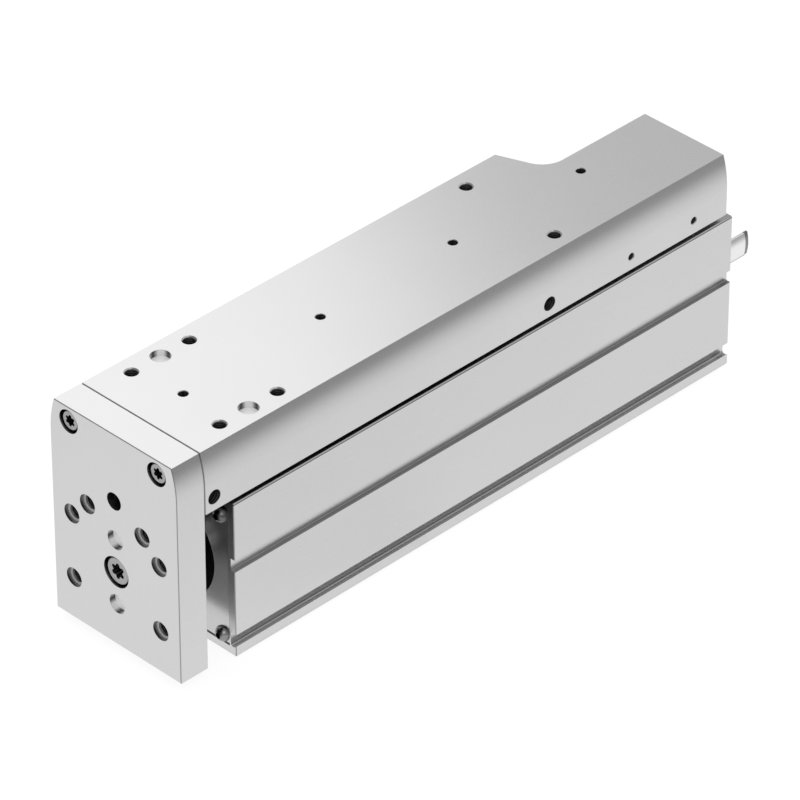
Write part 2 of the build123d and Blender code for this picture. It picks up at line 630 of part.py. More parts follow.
def plate_screws():
    """Two six-lobe screws from the plate into the slide."""
    shape = Rot(0, 90, 0) * screw(M4, PLATE_SEAT - X_PLATE + PLATE_SCREW_GRIP, lobed_socket(M4_LOBES))
    return placed(shape, [Pos(PLATE_SEAT, y, z) for y, z in PLATE_SCREW_PLACES])


def rod_screw():
    """Six-lobe screw on the drive axis, from the plate into the push rod."""
    shape = screw(M6, ROD_SCREW_SEAT - X_PLATE + ROD_SCREW_GRIP, lobed_socket(M6_LOBES))
    return Pos(ROD_SCREW_SEAT, 0, AXIS_HEIGHT) * Rot(0, 90, 0) * shape


# Drive line
def push_rod():
    """Hollow rod round the spindle, solid and threaded at its front."""
    tip = ROD_TIP_CHAMFER
    rod = turned([(X_NUT_FRONT, 0), (X_NUT_FRONT, ROD_RADIUS), (X_PLATE - tip, ROD_RADIUS),
                  (X_PLATE, ROD_RADIUS - tip), (X_PLATE, 0)])
    rod -= along_x(ROD_BORE, X_NUT_FRONT, X_SPINDLE_END + SPINDLE_END_RUN)
    return rod - along_x(M6[2] + FIT, X_PLATE - ROD_SCREW_GRIP - 1.0, X_PLATE)


def spindle():
    """Ball screw shaft with its bearing seat and drive journal."""
    x_journal = X_CLAW + JOURNAL_SETBACK
    x_relief = X_BEARING_SHOULDER - LOCK_NUT_WIDTH - RELIEF[0]
    relief_radius = JOURNAL_RADIUS - RELIEF[1]
    return turned([(x_journal, 0), (x_journal, JOURNAL_RADIUS - JOURNAL_CHAMFER),
                   (x_journal + JOURNAL_CHAMFER, JOURNAL_RADIUS), (x_relief, JOURNAL_RADIUS),
                   (x_relief, relief_radius), (x_relief + RELIEF[0], relief_radius),
                   (x_relief + RELIEF[0], JOURNAL_RADIUS), (X_BEARINGS, JOURNAL_RADIUS),
                   (X_BEARINGS, SPINDLE_RADIUS), (X_SPINDLE_END - SPINDLE_TIP_CHAMFER, SPINDLE_RADIUS),
                   (X_SPINDLE_END, SPINDLE_RADIUS - SPINDLE_TIP_CHAMFER), (X_SPINDLE_END, 0)])


def spindle_nut():
    """Ball nut with a rear flange and an inner chamber for its balls."""
    bore = SPINDLE_RADIUS + NUT_BORE_PLAY
    chamber = SPINDLE_RADIUS + NUT_BALL + 2 * NUT_BALL_PLAY
    flange = BORE_RADIUS - 2 * FIT
    x2, x3 = X_NUT + NUT_CHAMBER[0], X_NUT + NUT_CHAMBER[1]
    x_neck = X_NUT + NUT_FLANGE
    nut = turned([(X_NUT, bore), (X_NUT, flange), (x_neck, flange), (x_neck, NUT_RADIUS),
                  (X_NUT_FRONT, NUT_RADIUS), (X_NUT_FRONT, bore), (x3, bore), (x3, chamber),
                  (x2, chamber), (x2, bore)])
    for y, z in nut_screw_places():
        nut -= along_x(M2_5[2] + FIT, X_NUT, X_NUT + NUT_FLANGE, y, z)
        nut -= along_x(M2_5[0] + FIT, X_NUT, X_NUT + NUT_SCREW_SINK, y, z)
    return nut


def nut_screw_places():
    """Places of the nut's flange screws."""
    return on_circle(NUT_SCREW_CIRCLE, 4, 0.5)


def nut_screws():
    """Four small screws through the nut's flange."""
    shape = Rot(0, -90, 0) * screw(M2_5, NUT_SCREW_LENGTH, hexagon_socket(M2_5[3]))
    return placed(shape, [Pos(X_NUT + NUT_SCREW_SINK, y, z) for y, z in nut_screw_places()])


def nut_balls():
    """One turn of balls between nut and spindle."""
    radius = SPINDLE_RADIUS + NUT_BALL / 2 + NUT_BALL_PLAY
    first = X_NUT + sum(NUT_CHAMBER) / 2 - SCREW_LEAD * (NUT_BALLS - 1) / (2 * NUT_BALLS)
    places = [Pos(first + SCREW_LEAD * i / NUT_BALLS, y, z)
              for i, (y, z) in enumerate(on_circle(radius, NUT_BALLS))]
    return placed(Sphere(NUT_BALL / 2), places)


def nut_carrier():
    """Sleeve that joins the nut to the push rod and slides in the bore."""
    x0 = X_NUT + NUT_FLANGE
    outer = BORE_RADIUS - 3 * FIT
    w0, w1 = X_NUT + WEAR_RING[0], X_NUT + WEAR_RING[1]
    sleeve = turned([(x0, NUT_RADIUS + FIT), (x0, outer), (w0, outer), (w0, outer - WEAR_RING_DEPTH),
                     (w1, outer - WEAR_RING_DEPTH), (w1, outer), (X_CARRIER_FRONT - CARRIER_CHAMFER, outer),
                     (X_CARRIER_FRONT, outer - CARRIER_CHAMFER), (X_CARRIER_FRONT, ROD_RADIUS + FIT),
                     (X_NUT_FRONT, ROD_RADIUS + FIT), (X_NUT_FRONT, NUT_RADIUS + FIT)])
    return sleeve - [along_x(M2_5[2] + FIT, x0, x0 + NUT_SCREW_HOLE, y, z) for y, z in nut_screw_places()]


def wear_ring():
    """Plastic ring that guides the nut carrier in the bore."""
    inner = BORE_RADIUS - 3 * FIT - WEAR_RING_DEPTH + FIT
    return ring(BORE_RADIUS - FIT, inner, X_NUT + WEAR_RING[0] + FIT, X_NUT + WEAR_RING[1] - FIT)


def rear_buffer():
    """Rubber end stop in front of the rear bearing housing."""
    return ring(BUFFER_RADII[1], BUFFER_RADII[0], X_BARREL, X_REAR_BUFFER)


# Rear end
def rear_screw_places():
    """Places of the rear flange's screws."""
    return on_circle(REAR_SCREW_CIRCLE, 4, 0.5)


def rear_bearing_housing():
    """Bearing barrel and flange, with two claws that centre the motor mounting."""
    flange_radius = REAR_FLANGE[0]
    body = turned([(X_BARREL, RETAINER_RADIUS), (X_BARREL, BORE_RADIUS - FIT),
                   (X_FLANGE_SEAT, BORE_RADIUS - FIT), (X_FLANGE_SEAT, flange_radius),
                   (X_FLANGE, flange_radius), (X_FLANGE, REAR_BORE),
                   (X_BEARING_SHOULDER, REAR_BORE), (X_BEARING_SHOULDER, BEARING_OUTER + FIT),
                   (X_BEARINGS, BEARING_OUTER + FIT), (X_BEARINGS, RETAINER_RADIUS)])
    lead, drop = CLAW_LEAD
    inner = CLAW_RADIUS - CLAW_WALL
    collar = turned([(X_FLANGE, inner), (X_FLANGE, CLAW_RADIUS), (X_CLAW + lead, CLAW_RADIUS),
                     (X_CLAW + lead, CLAW_RADIUS - drop), (X_CLAW, CLAW_RADIUS - drop), (X_CLAW, inner)])
    window = box(X_CLAW, X_FLANGE, -CLAW_RADIUS, CLAW_RADIUS,
                 AXIS_HEIGHT - CLAW_HALF_HEIGHT, AXIS_HEIGHT + CLAW_HALF_HEIGHT)
    body += collar & window
    for y, z in rear_screw_places():
        body -= along_x(M3[2] + HOLE_PLAY, X_FLANGE, X_FLANGE_SEAT, y, z)
        body -= along_x(M3[0] + HOLE_PLAY, X_FLANGE, X_FLANGE + REAR_SCREW_SINK, y, z)
    return body


def rear_screws():
    """Four screws that hold the rear bearing housing."""
    shape = Rot(0, -90, 0) * screw(M3, REAR_SCREW_LENGTH, hexagon_socket(M3[3]))
    return placed(shape, [Pos(X_FLANGE + REAR_SCREW_SINK, y, z) for y, z in rear_screw_places()])


def bearing_race(outer, inner, x0):
    """Bearing ring with a ball groove on the side where the other ring is."""
    groove = Torus(BEARING_PITCH, BEARING_BALL / 2 + TRACK_PLAY)
    middle = Pos(x0 + BEARING_WIDTH / 2, 0, AXIS_HEIGHT)
    return ring(outer, inner, x0, x0 + BEARING_WIDTH) - middle * Rot(0, 90, 0) * groove


def bearing_balls(x0):
    """Balls of one spindle bearing."""
    places = [Pos(x0 + BEARING_WIDTH / 2, y, z) for y, z in on_circle(BEARING_PITCH, BEARING_BALLS)]
    return placed(Sphere(BEARING_BALL / 2), places)


def bearing_retainer():
    """Threaded ring that holds the outer bearing rings."""
    body = ring(RETAINER_RADIUS - FIT, BEARING_OUTER - RETAINER_RIM, X_BEARINGS, X_BARREL)
    x_slot = X_BARREL - 2 * RETAINER_SLOT
    return body - [along_x(RETAINER_SLOT, x_slot, X_BARREL, y, z) for y, z in on_circle(BEARING_OUTER, 4)]


def lock_nut():
    """Slotted nut that clamps the inner bearing rings on the spindle."""
    x0 = X_BEARING_SHOULDER - LOCK_NUT_WIDTH
    body = ring(LOCK_NUT_RADIUS, JOURNAL_RADIUS + FIT, x0, X_BEARING_SHOULDER)
    width, depth = LOCK_NUT_SLOT
    slot = Box(LOCK_NUT_WIDTH, width, 2 * depth)
    middle = Pos(x0 + LOCK_NUT_WIDTH / 2, 0, AXIS_HEIGHT)
    return body - [middle * Rot(90 * i, 0, 0) * Pos(0, 0, LOCK_NUT_RADIUS) * slot for i in range(4)]


PIECES = {
    "housing": housing,
    "front_cover": front_cover,
    "cover_screws": cover_screws,
    "bearing_carrier": bearing_carrier,
    "rod_bush": rod_bush,
    "rod_wiper": rod_wiper,
    "front_buffer": front_buffer,
    "carriage_screws": carriage_screws,
    "rail": rail,
    "rail_screws": rail_screws,
    "slide": slide,
    "yoke_plate": yoke_plate,
    "plate_screws": plate_screws,
    "rod_screw": rod_screw,
    "push_rod": push_rod,
    "spindle": spindle,
    "spindle_nut": spindle_nut,
    "nut_screws": nut_screws,
    "nut_balls": nut_balls,
    "nut_carrier": nut_carrier,
    "wear_ring": wear_ring,
    "rear_buffer": rear_buffer,
    "rear_bearing_housing": rear_bearing_housing,
    "rear_screws": rear_screws,
    "bearing_retainer": bearing_retainer,
    "lock_nut": lock_nut,
}

os.makedirs("parts", exist_ok=True)
for name, make in PIECES.items():
    export_step(make(), f"parts/{name}.step")

for number, x1 in enumerate(CARRIAGE_X1, start=1):
    export_step(carriage_block(x1), f"parts/carriage_{number}_block.step")
    export_step(carriage_cap(x1, 1), f"parts/carriage_{number}_front_cap.step")
    export_step(carriage_cap(x1, -1), f"parts/carriage_{number}_rear_cap.step")
    export_step(carriage_balls(x1), f"parts/carriage_{number}_balls.step")

for number, x0 in enumerate((X_BEARINGS - BEARING_WIDTH, X_BEARING_SHOULDER), start=1):
    outer = bearing_race(BEARING_OUTER, BEARING_OUTER - BEARING_WALLS[1], x0)
    inner = bearing_race(BEARING_BORE + BEARING_WALLS[0], BEARING_BORE + FIT, x0)
    export_step(outer, f"parts/bearing_{number}_outer.step")
    export_step(inner, f"parts/bearing_{number}_inner.step")
    export_step(bearing_balls(x0), f"parts/bearing_{number}_balls.step")
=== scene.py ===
"""Electric mini slide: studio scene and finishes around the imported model.

The frame is in metres: +X is the way the slide moves out, +Y the side that the camera sees, +Z is up.
Names that end in MM, the bounds of a shade's place and all sizes of the linings are in millimetres."""
import json
import math
from collections import namedtuple

import bpy
import numpy as np
from mathutils import Matrix, Vector


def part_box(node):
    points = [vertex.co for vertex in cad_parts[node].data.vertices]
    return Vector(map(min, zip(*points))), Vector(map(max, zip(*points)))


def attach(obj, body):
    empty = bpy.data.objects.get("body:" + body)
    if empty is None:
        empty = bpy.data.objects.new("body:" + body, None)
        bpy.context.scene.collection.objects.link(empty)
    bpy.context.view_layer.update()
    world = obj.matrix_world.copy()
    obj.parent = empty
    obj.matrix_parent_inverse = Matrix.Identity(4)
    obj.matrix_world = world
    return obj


MM = 0.001
WHITE = (1.0, 1.0, 1.0, 1.0)

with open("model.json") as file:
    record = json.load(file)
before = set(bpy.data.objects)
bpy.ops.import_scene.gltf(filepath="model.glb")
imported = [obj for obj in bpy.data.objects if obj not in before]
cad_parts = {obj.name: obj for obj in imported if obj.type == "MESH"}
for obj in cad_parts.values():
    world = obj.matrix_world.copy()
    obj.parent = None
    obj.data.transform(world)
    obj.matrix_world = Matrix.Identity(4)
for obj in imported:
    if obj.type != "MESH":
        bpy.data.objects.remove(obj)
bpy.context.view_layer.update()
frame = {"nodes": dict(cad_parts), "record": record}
MOUNTS = {mount["name"]: mount for mount in frame["record"]["mounts"]}


def box_mm(name):
    """Lowest and highest corner of a CAD node at rest, in mm."""
    return [np.array(corner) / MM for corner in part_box(name)]


# Camera: a long lens 2 m away, level, half-way between straight ahead and the right, looking down 35 degrees
CAMERA_PLACE = (1.18912, 1.17341, 1.20496)
CAMERA_LINE = (-0.57876, -0.57730, -0.57599)
SENSOR_MM = 36.0
LENS_MM = 280.87
NEAREST, FARTHEST = 0.01, 20.0
camera = bpy.data.objects.new("camera", bpy.data.cameras.new("camera"))
bpy.context.scene.collection.objects.link(camera)
camera.location = CAMERA_PLACE
camera.rotation_euler = Vector(CAMERA_LINE).to_track_quat("-Z", "Y").to_euler()
camera.data.sensor_width = SENSOR_MM
camera.data.lens = LENS_MM
camera.data.clip_start = NEAREST
camera.data.clip_end = FARTHEST
bpy.context.scene.camera = camera


# Shader helpers
def linear(hex_colour):
    """sRGB hex to linear RGBA: c / 12.92 below 0.04045, else ((c + 0.055) / 1.055) ** 2.4."""
    channels = [int(hex_colour[i:i + 2], 16) / 255 for i in (1, 3, 5)]
    return tuple(c / 12.92 if c <= 0.04045 else ((c + 0.055) / 1.055) ** 2.4 for c in channels) + (1.0,)


def node(tree, kind, links=None, **settings):
    """Add a shader node; settings name its sockets or properties, links give socket: source output."""
    new = tree.nodes.new(kind)
    for key, value in settings.items():
        socket = new.inputs.get(key.replace("_", " "))
        if socket is not None:
            socket.default_value = value
        else:
            setattr(new, key, value)
    for key, source in (links or {}).items():
        tree.links.new(source, new.inputs[key])
    return new


def blank(name):
    """Empty material with its output node."""
    material = bpy.data.materials.new(name)
    material.use_nodes = True
    material.node_tree.nodes.clear()
    return material, material.node_tree, node(material.node_tree, "ShaderNodeOutputMaterial")


def plain(tree, hex_colour):
    """Output of one colour."""
    colour = node(tree, "ShaderNodeRGB").outputs[0]
    colour.default_value = linear(hex_colour)
    return colour


def times(tree, a, b):
    """Product of two colour or value outputs."""
    mix = node(tree, "ShaderNodeMix", data_type="RGBA", blend_type="MULTIPLY")
    mix.inputs["Factor"].default_value = 1.0
    colours = [socket for socket in mix.inputs if socket.type == "RGBA"]
    tree.links.new(a, colours[0])
    tree.links.new(b, colours[1])
    return [socket for socket in mix.outputs if socket.type == "RGBA"][0]


def scaled(tree, value, factor):
    """Value output times a number."""
    product = node(tree, "ShaderNodeMath", {0: value}, operation="MULTIPLY")
    product.inputs[1].default_value = factor
    return product.outputs[0]


def ramp(tree, value, start, end, low, high, kind="LINEAR"):
    """Carry the range start to end of a value onto low to high, and hold it there outside that range."""
    return node(tree, "ShaderNodeMapRange", {"Value": value}, interpolation_type=kind,
                From_Min=start, From_Max=end, To_Min=low, To_Max=high).outputs["Result"]


# Finishes. Noise mostly stays between NOISE_LOW and NOISE_HIGH; the tone drifts over DRIFT_MM, down to
# DRIFT_SHADE of itself, and the roughness goes up and down by GLOSS_SPREAD of itself with the grain.
NOISE_LOW, NOISE_HIGH = 0.3, 0.7
GRAIN_DETAIL, DRIFT_DETAIL = 2.0, 1.0
DRIFT_MM = 35.0
DRIFT_SHADE = 0.985
GLOSS_SPREAD = 0.1
GRAIN_STRENGTH = 0.5
CREVICE_RAYS = 8


def noise(tree, vector, size_mm, detail):
    """Noise with blotches of a real size in object space, and detail finer octaves."""
    return node(tree, "ShaderNodeTexNoise", {"Vector": vector},
                Scale=1 / (size_mm * MM), Detail=detail).outputs["Fac"]


def painted_crevice_shade(tree, reach_mm, deep, open_, deepest_shade):
    """Painted shade in crevices: the colour falls to its darkest share where deep or less of the surroundings
    within reach are open, and stays whole from open_ on.
    """
    near = node(tree, "ShaderNodeAmbientOcclusion", Distance=reach_mm * MM, samples=CREVICE_RAYS)
    return ramp(tree, near.outputs["AO"], deep, open_, deepest_shade, 1.0)


def where(tree, place, soft, tests):
    """1 where every test holds, 0 elsewhere. A test gives the bounds of one axis of the object-space normal,
    or of the place in mm; bars round the axis take its size without its sign. Each bound fades in over the
    soft share of the span."""
    inside = None
    for (kind, axis), (low, high) in tests.items():
        unit = MM if kind == "Object" else 1.0
        value = node(tree, "ShaderNodeSeparateXYZ", {0: place.outputs[kind]}).outputs[axis.strip("|")]
        if "|" in axis:
            value = node(tree, "ShaderNodeMath", {0: value}, operation="ABSOLUTE").outputs[0]
        fade = soft * (high - low)
        for start, end in ((low, low + fade), (high, high - fade)):
            step = ramp(tree, value, start * unit, end * unit, 0.0, 1.0, "SMOOTHSTEP")
            inside = step if inside is None else times(tree, inside, step)
    return inside


def finish(name, hex_colour, roughness, grain_mm, depth_mm, stretch=(1, 1, 1), metallic=1.0, reach_mm=6.0,
           deep=0.0, open_=0.7, deepest_shade=0.0, specular=0.5, marks=()):
    """One surface finish: a tone that drifts a little, a grain in gloss and relief, painted shade in crevices
    and painted shade marks. Stretch below 1 draws the grain out along that axis, and above 1 packs it closer."""
    material, tree, out = blank(name)
    place = node(tree, "ShaderNodeTexCoord")
    stretched = node(tree, "ShaderNodeMapping", {"Vector": place.outputs["Object"]}, Scale=stretch)
    grain = noise(tree, stretched.outputs["Vector"], grain_mm, GRAIN_DETAIL)
    drift = noise(tree, place.outputs["Object"], DRIFT_MM, DRIFT_DETAIL)
    base = times(tree, plain(tree, hex_colour), ramp(tree, drift, NOISE_LOW, NOISE_HIGH, DRIFT_SHADE, 1.0))
    base = times(tree, base, painted_crevice_shade(tree, reach_mm, deep, open_, deepest_shade))
    for mark in marks:
        inside = where(tree, place, mark.soft, mark.tests)
        base = times(tree, base, ramp(tree, inside, 0.0, 1.0, 1.0, mark.shade))
    spread = GLOSS_SPREAD * roughness
    gloss = ramp(tree, grain, NOISE_LOW, NOISE_HIGH, roughness - spread, roughness + spread)
    relief = node(tree, "ShaderNodeBump", {"Height": grain}, Strength=GRAIN_STRENGTH, Distance=depth_mm * MM)
    shader = node(tree, "ShaderNodeBsdfPrincipled", {"Base Color": base, "Roughness": gloss,
                  "Normal": relief.outputs["Normal"]}, Metallic=metallic, Specular_IOR_Level=specular)
    tree.links.new(shader.outputs["BSDF"], out.inputs["Surface"])
    return material


# Painted shade: narrow darker marks in the colour where the real object lies in shade, each at its place on
# the
# frame: shade is the share of the light that is left, soft the share of each span over which it fades in,
# tests the bounds of its normal and place
Mark = namedtuple("Mark", "shade soft tests")
NORMAL_X, SIDEWAYS_X, NORMAL_Z = ("Normal", "X"), ("Normal", "|X|"), ("Normal", "Z")
PLACE_X, PLACE_Y, PLACE_Z = ("Object", "X"), ("Object", "Y"), ("Object", "Z")
(housing_rear, _, base_z), (_, housing_side, housing_top) = box_mm("housing")
slide_rear = box_mm("slide")[0][0]
cover_foot = box_mm("front_cover")[0][2]
claw_end = box_mm("rear_bearing_housing")[0][0]
drive_z = MOUNTS["drive_journal"]["pos_m"][2] / MM

# Painted shade on the chamfers round the end faces, which face neither quite ahead nor quite aside
END_EDGES = Mark(0.45, 0.1, {SIDEWAYS_X: (0.45, 0.85)})
# The rounded upper edge of the housing, in the slide's shade
UPPER_EDGE = Mark(0.3, 0.1, {NORMAL_Z: (0.1, 0.58), PLACE_Z: (housing_top - 4.7, housing_top + 0.3)})
# Painted shade on the upward faces of the side grooves, which see only the groove's roof
GROOVE_SILL = Mark(0.58, 0.02, {NORMAL_Z: (0.1, 1.1), PLACE_Z: (base_z + 3, base_z + 50)})
# Painted shade on the housing's front end behind the yoke plate
FRONT_END = Mark(0.65, 0.3, {NORMAL_X: (0.9, 1.1), PLACE_Z: (base_z + 6, base_z + 46)})
# Painted shadow of the slide on the top of the housing's right wall where it shows behind the slide's rear end
REAR_SHELF = Mark(0.65, 0.1, {NORMAL_Z: (0.8, 1.1), PLACE_X: (housing_rear - 25, slide_rear + 2.7),
                              PLACE_Y: (housing_side - 8.8, housing_side + 1.2)})
# Painted shade on the two upper screws of the cover, close under the slide
UPPER_SCREWS = Mark(0.55, 0.02, {PLACE_Z: (base_z + 45, base_z + 60)})
# Painted shade along the cover's lower edge, where its seam shows as a dark line
COVER_EDGE = Mark(0.1, 0.1, {PLACE_Z: (cover_foot - 0.8, cover_foot + 0.7)})
# Painted shade on the ends of the claws, their rounded upper edges and their lower edges
CLAW_TIP = Mark(0.3, 0.02, {PLACE_X: (claw_end - 5.8, claw_end + 1.9)})
CLAW_TOP = Mark(0.5, 0.4, {PLACE_X: (claw_end - 10.8, claw_end + 19.2), NORMAL_Z: (0.08, 0.6)})
CLAW_FOOT = Mark(0.5, 0.1, {PLACE_X: (claw_end - 5.8, claw_end + 17.2),
                            PLACE_Z: (drive_z - 5, drive_z - 3.9)})

# The slide's satin milled faces, which mirror the softbox softly; the painted crevice shade leaves a hole's
# mouth grey, not black
milled = finish("milled_anodised_aluminium", "#DBDBDB", roughness=0.3, grain_mm=0.25, depth_mm=0.004,
                deepest_shade=0.3, marks=[END_EDGES])
# The same milled face on the plate, with a wide soft shade where it stands close to the housing
plate_milled = finish("milled_plate_aluminium", "#DBDBDB", roughness=0.3, grain_mm=0.25, depth_mm=0.004,
                      reach_mm=20.0, open_=0.5, marks=[END_EDGES])
# Fine draw lines along the housing, with painted shade inside its grooves and along its edges
extruded = finish("extruded_anodised_aluminium", "#D8D8D8", roughness=0.3, grain_mm=0.3, depth_mm=0.0012,
                  stretch=(0.03, 1, 1), reach_mm=3.2,
                  marks=[END_EDGES, UPPER_EDGE, GROOVE_SILL, FRONT_END, REAR_SHELF])
# A flat, glossier sheet with next to no grain
sheet = finish("smooth_anodised_sheet", "#CCCCCC", roughness=0.2, grain_mm=0.2, depth_mm=0.001, reach_mm=1.0,
               marks=[COVER_EDGE])
# Bright turned metal with feed lines close together along the axis, and painted shade on the claws' edges
turned = finish("turned_anodised_aluminium", "#F6F6F6", roughness=0.32, grain_mm=0.2, depth_mm=0.003,
                stretch=(6, 1, 1), marks=[CLAW_TIP, CLAW_TOP, CLAW_FOOT])
# Grey, slightly milky plating, with painted shade darkening the sockets in the screw heads
zinc = finish("zinc_plated_steel", "#ADADAD", roughness=0.34, grain_mm=0.12, depth_mm=0.004, reach_mm=3.0,
              deep=0.3, open_=0.8)
# Shiny button heads that mirror light and dark in small patches; the upper two are darkened as painted shade
stainless = finish("bright_stainless_steel", "#929292", roughness=0.2, grain_mm=0.15, depth_mm=0.002,
                   reach_mm=4.0, deep=0.2, open_=0.9, marks=[UPPER_SCREWS])
# Dark oxide on the screws and nuts inside, with a dull sheen
blackened = finish("blackened_steel", "#4A4A4C", roughness=0.35, grain_mm=0.15, depth_mm=0.003, reach_mm=0.5)
# Grinding lines along the rail, the blocks and the spindle
ground = finish("ground_guide_steel", "#BEBEC0", roughness=0.2, grain_mm=0.15, depth_mm=0.002,
                stretch=(0.05, 1, 1))
# A near mirror on the push rod, with faint rings from polishing
chrome = finish("hard_chrome", "#D4D4D6", roughness=0.08, grain_mm=0.4, depth_mm=0.0005, stretch=(4, 1, 1))
# The smoothest metal, on balls and bearing rings
polished = finish("polished_bearing_steel", "#D8D8DA", roughness=0.06, grain_mm=0.3, depth_mm=0.0003)
# Brown, dull and finely pitted
bronze = finish("sintered_bronze", "#9A7A4A", roughness=0.45, grain_mm=0.25, depth_mm=0.01)
# Deep black without a highlight, as the disc looks in the gap behind the plate
acetal = finish("black_acetal", "#030303", roughness=0.6, grain_mm=0.3, depth_mm=0.003, metallic=0.0,
                specular=0.03)
# Dark grey moulded caps, slightly mottled by their filler
cap_plastic = finish("dark_grey_filled_plastic", "#2C2E30", roughness=0.5, grain_mm=0.35, depth_mm=0.008,
                     metallic=0.0, specular=0.3)
# Brown-green guide ring, matt and a little coarser
bearing_plastic = finish("filled_bearing_plastic", "#6A5B40", roughness=0.55, grain_mm=0.4, depth_mm=0.006,
                         metallic=0.0, specular=0.3)
# Matt black rubber with the coarsest grain
rubber = finish("black_nitrile_rubber", "#121213", roughness=0.7, grain_mm=0.5, depth_mm=0.012, metallic=0.0,
                specular=0.25)

FINISHES = {
    milled: ["slide"],
    plate_milled: ["yoke_plate"],
    extruded: ["housing"],
    sheet: ["front_cover"],
    turned: ["rear_bearing_housing", "nut_carrier"],
    zinc: ["plate_screws", "rod_screw", "rear_screws", "nut_screws"],
    stainless: ["cover_screws"],
    blackened: ["carriage_screws", "rail_screws", "lock_nut", "bearing_retainer"],
    ground: ["rail", "spindle", "spindle_nut", "carriage_1_block", "carriage_2_block"],
    chrome: ["push_rod"],
    polished: ["carriage_1_balls", "carriage_2_balls", "nut_balls", "bearing_1_balls", "bearing_2_balls",
               "bearing_1_outer", "bearing_2_outer", "bearing_1_inner", "bearing_2_inner"],
    bronze: ["rod_bush"],
    acetal: ["bearing_carrier"],
    cap_plastic: ["carriage_1_front_cap", "carriage_1_rear_cap", "carriage_2_front_cap",
                  "carriage_2_rear_cap"],
    bearing_plastic: ["wear_ring"],
    rubber: ["rod_wiper", "front_buffer", "rear_buffer"],
}
for material, names in FINISHES.items():
    for name in names:
        cad_mesh = frame["nodes"][name].data
        cad_mesh.materials.clear()
        cad_mesh.materials.append(material)


# Machined holes: bright bored recesses and tapped threads, as thin linings inside the holes of the CAD nodes.
# A lining keeps LINING_GAP off the hole's wall and floor and starts ENTRY below its mouth; the last ring of a
# # closed floor has the radius CENTRE. In their finish the painted reflection bands fade from BANDS_START of
# the cosine on.
TURNS = 96
LINING_GAP = 0.02
ENTRY = 0.05
WALL_STEP = 0.8
CENTRE = 0.01
STEPS_PER_PITCH = 8
MARK_STRENGTH = 0.4
MARK_SHADE = 0.96
BANDS = 4
BANDS_START = -0.5


def turning_marks(name, hex_colour, roughness, mark_mm, depth_mm, metallic=1.0, glint=1.0, bounce=0.0):
    """Machined aluminium: rings of a real feed mark run round the hole, along UV's second axis. Glint below 1
    paints a reflection into the colour: four darker bands along the bore, between the bright ones that a
    turned bore shows. Bounce is a faint glow, painted light for the light that a bright bore throws to and
    fro."""
    material, tree, out = blank(name)
    place = node(tree, "ShaderNodeTexCoord")
    split = node(tree, "ShaderNodeSeparateXYZ", {0: place.outputs["UV"]})
    down = scaled(tree, split.outputs["Y"], 2 * math.pi / mark_mm)
    turn = scaled(tree, split.outputs["X"], 2 * math.pi * BANDS)
    wave = node(tree, "ShaderNodeMath", {0: down}, operation="SINE").outputs[0]
    lobe = node(tree, "ShaderNodeMath", {0: turn}, operation="COSINE").outputs[0]
    relief = node(tree, "ShaderNodeBump", {"Height": wave}, Strength=MARK_STRENGTH, Distance=depth_mm * MM)
    base = times(tree, plain(tree, hex_colour), ramp(tree, wave, -1.0, 1.0, MARK_SHADE, 1.0))
    base = times(tree, base, ramp(tree, lobe, BANDS_START, 1.0, 1.0, glint))
    shader = node(tree, "ShaderNodeBsdfPrincipled", {"Base Color": base, "Normal": relief.outputs["Normal"]},
                  Metallic=metallic, Roughness=roughness, Emission_Color=WHITE, Emission_Strength=bounce)
    tree.links.new(shader.outputs["BSDF"], out.inputs["Surface"])
    return material


# Bright fitted wall of a centring recess, with a painted reflection: dark bands between its glints
reamed = turning_marks("bright_reamed_aluminium", "#F0F0F0", roughness=0.3, mark_mm=0.09, depth_mm=0.002,
                       glint=0.1)
# Wall of a counterbore, greyer than the face round it as painted shade
bored = turning_marks("bored_aluminium", "#A0A0A0", roughness=0.3, mark_mm=0.09, depth_mm=0.002)
# Pale floor of a centring recess, nearly as bright as the face round it through a faint glow of painted light
faced = turning_marks("bright_faced_aluminium", "#F8F8F8", roughness=0.5, mark_mm=0.12, depth_mm=0.002,
                      metallic=0.0, bounce=0.15)
# Softer grey floor of a counterbore
spot_faced = turning_marks("spot_faced_aluminium", "#D8D8D8", roughness=0.5, mark_mm=0.12, depth_mm=0.002,
                           metallic=0.0)
# Thread flanks darkened as painted shade, which catch a little light turn by turn
tapped = turning_marks("tapped_aluminium", "#6E6E6E", roughness=0.5, mark_mm=0.4, depth_mm=0.01)


def seats(cad_node, *mount_names):
    """Mouths of the holes of some mounts, in mm, each with the way that it opens. The holes of a pattern
    stand in rows along the two axes of their face, and that face is where the node's box ends."""
    low, high = box_mm(cad_node)
    found = []
    for mount in (MOUNTS[name] for name in mount_names):
        out = np.array(mount["axis"], dtype=float)
        across, along = np.eye(3)[out == 0]
        middle = np.where(out == 0, np.array(mount["pos_m"]) / MM, np.where(out > 0, high, low))
        reach = [mount["dims"].get(spacing, 0.0) / 2 for spacing in ("spacing_x_mm", "spacing_y_mm")]
        found += [(middle + u * across + v * along, out)
                  for u in sorted({-reach[0], reach[0]}) for v in sorted({-reach[1], reach[1]})]
    return found


def wall(radius, depth):
    """Rings of a plain bore's wall, from just below its mouth down to its floor."""
    return [(radius, z) for z in (ENTRY, *np.arange(WALL_STEP, depth, WALL_STEP), depth)]


def flat_rings(radii, depth):
    """Rings of a flat floor, from the wall inward."""
    return [(radius, depth) for radius in radii]


def thread_rings(core, start, length, bevel, pitch):
    """Rings of a tapped hole, a few to each pitch, below an entry bevel, and its end."""
    steps = np.arange(start + bevel, start + length, pitch / STEPS_PER_PITCH)
    return [(core + bevel, start)] * (bevel > 0) + [(core, z) for z in steps] + [(CENTRE, steps[-1])]


